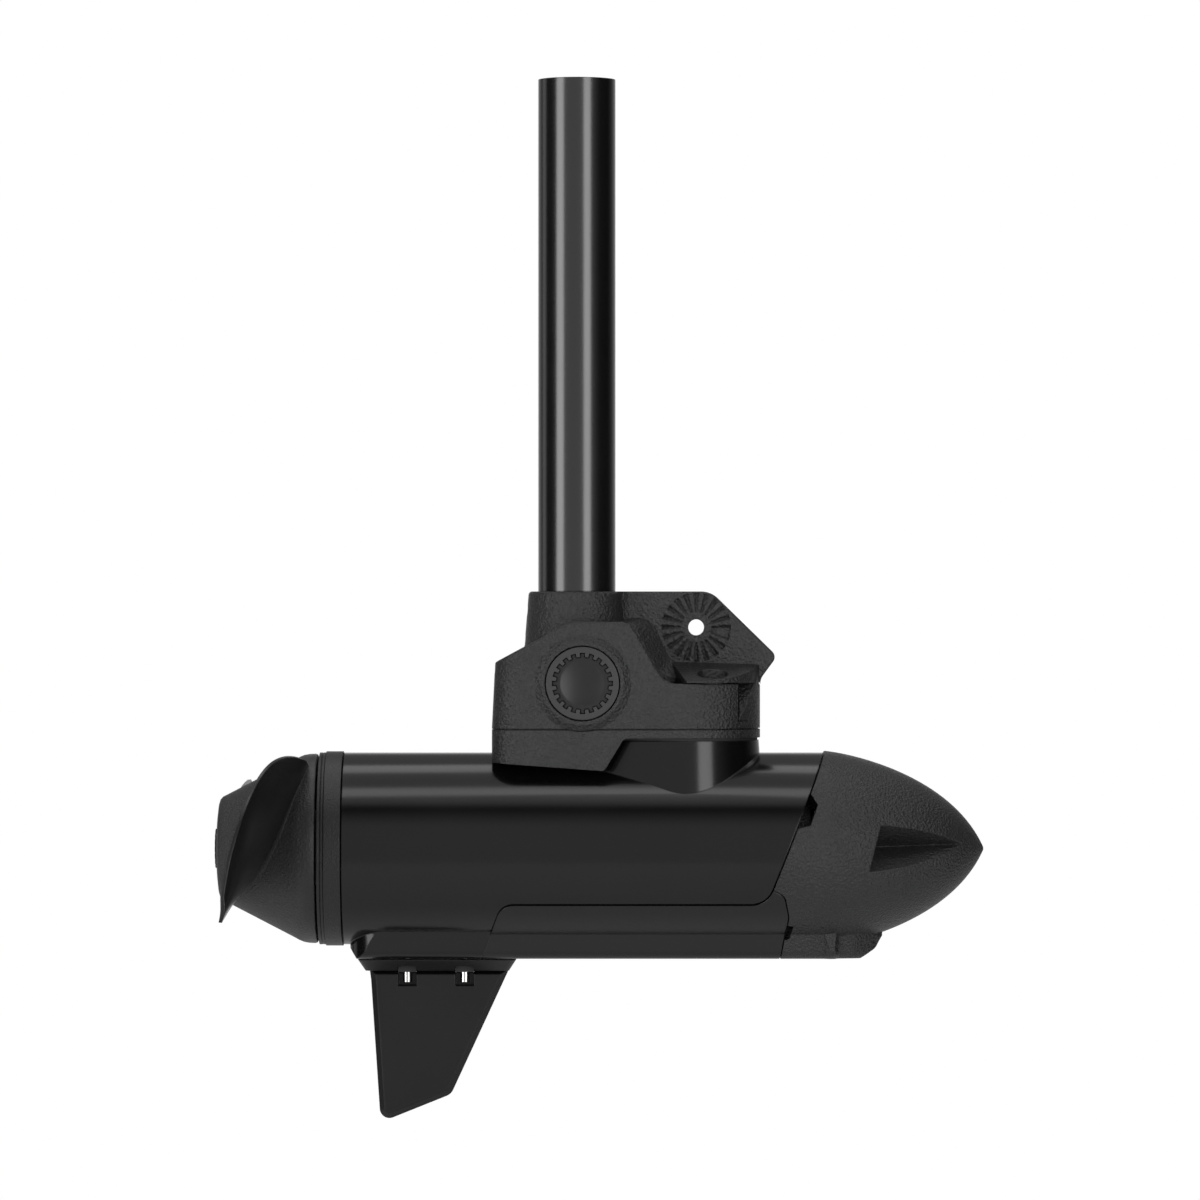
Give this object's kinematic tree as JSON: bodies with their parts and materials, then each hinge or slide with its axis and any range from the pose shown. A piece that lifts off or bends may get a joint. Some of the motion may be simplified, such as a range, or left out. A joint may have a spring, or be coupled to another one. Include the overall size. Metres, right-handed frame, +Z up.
{
  "type": "trolling motor lower unit",
  "caption": "Lower unit of an electric trolling motor: shaft, tilting bracket and yoke, sealed motor pod, two-blade propeller and skeg fin.",
  "frame": {"origin": "centre of the shaft's cut top end, on the shaft's axis", "axes": "+X forward to the nose, +Z up along the shaft, +Y across to the left, the port side"},
  "size_m": [0.3146, 0.208, 0.4255],
  "materials": {
    "shaft": "gloss",
    "bracket": "fine leather grain",
    "pod_paint": "satin",
    "textured_cover": "fine leather grain",
    "blade_plastic": "satin",
    "fin_plastic": "smooth",
    "steel": "bright",
    "bronze": "plain",
    "seal_rubber": "matte",
    "lamination": "plain",
    "copper": "enamelled wire",
    "magnet": "nickel plated",
    "aluminium": "machined",
    "board": "solder mask",
    "component": "moulded"
  },
  "bodies": {
    "shaft": {"shaft_tube": "shaft", "shaft_lock_screws": "steel", "shaft_bracket": "bracket", "pivot_bushes": "bronze"},
    "pod": {"tilt_yoke": "bracket", "pivot_pins": "steel", "pivot_lock_rings": "bracket", "pivot_caps": "bracket", "yoke_bolts": "steel", "yoke_base": "bracket", "base_screws": "steel", "neck_gasket": "seal_rubber", "pod_housing": "pod_paint", "bottom_tray": "textured_cover", "nose_cone": "textured_cover", "nose_oring": "seal_rubber", "rear_bell": "pod_paint", "rear_oring": "seal_rubber", "rear_trim_ring": "textured_cover", "shaft_seal": "seal_rubber", "rear_bearing_outer": "steel", "front_bearing_outer": "steel", "stator_core": "lamination", "stator_windings": "copper", "front_plate": "aluminium", "board_posts": "steel", "drive_board": "board", "board_parts": "component", "fin": "fin_plastic", "fin_studs": "steel", "fin_nuts": "textured_cover"},
    "prop": {"propeller": "blade_plastic", "prop_shaft": "steel", "drive_pin": "steel", "prop_washer": "steel", "prop_nut": "textured_cover", "rotor_core": "lamination", "rotor_magnets": "magnet", "rear_bearing_inner": "steel", "front_bearing_inner": "steel"}
  },
  "joints": [
    {"name": "tilt", "type": "hinge", "parent": "shaft", "child": "pod", "pos_m": [0.0024, 0, -0.247], "axis": [0, 1, 0], "range_deg": [0, 15]},
    {"name": "prop_spin", "type": "hinge", "parent": "pod", "child": "prop", "pos_m": [0, 0, -0.315], "axis": [1, 0, 0], "continuous": true}
  ]
}
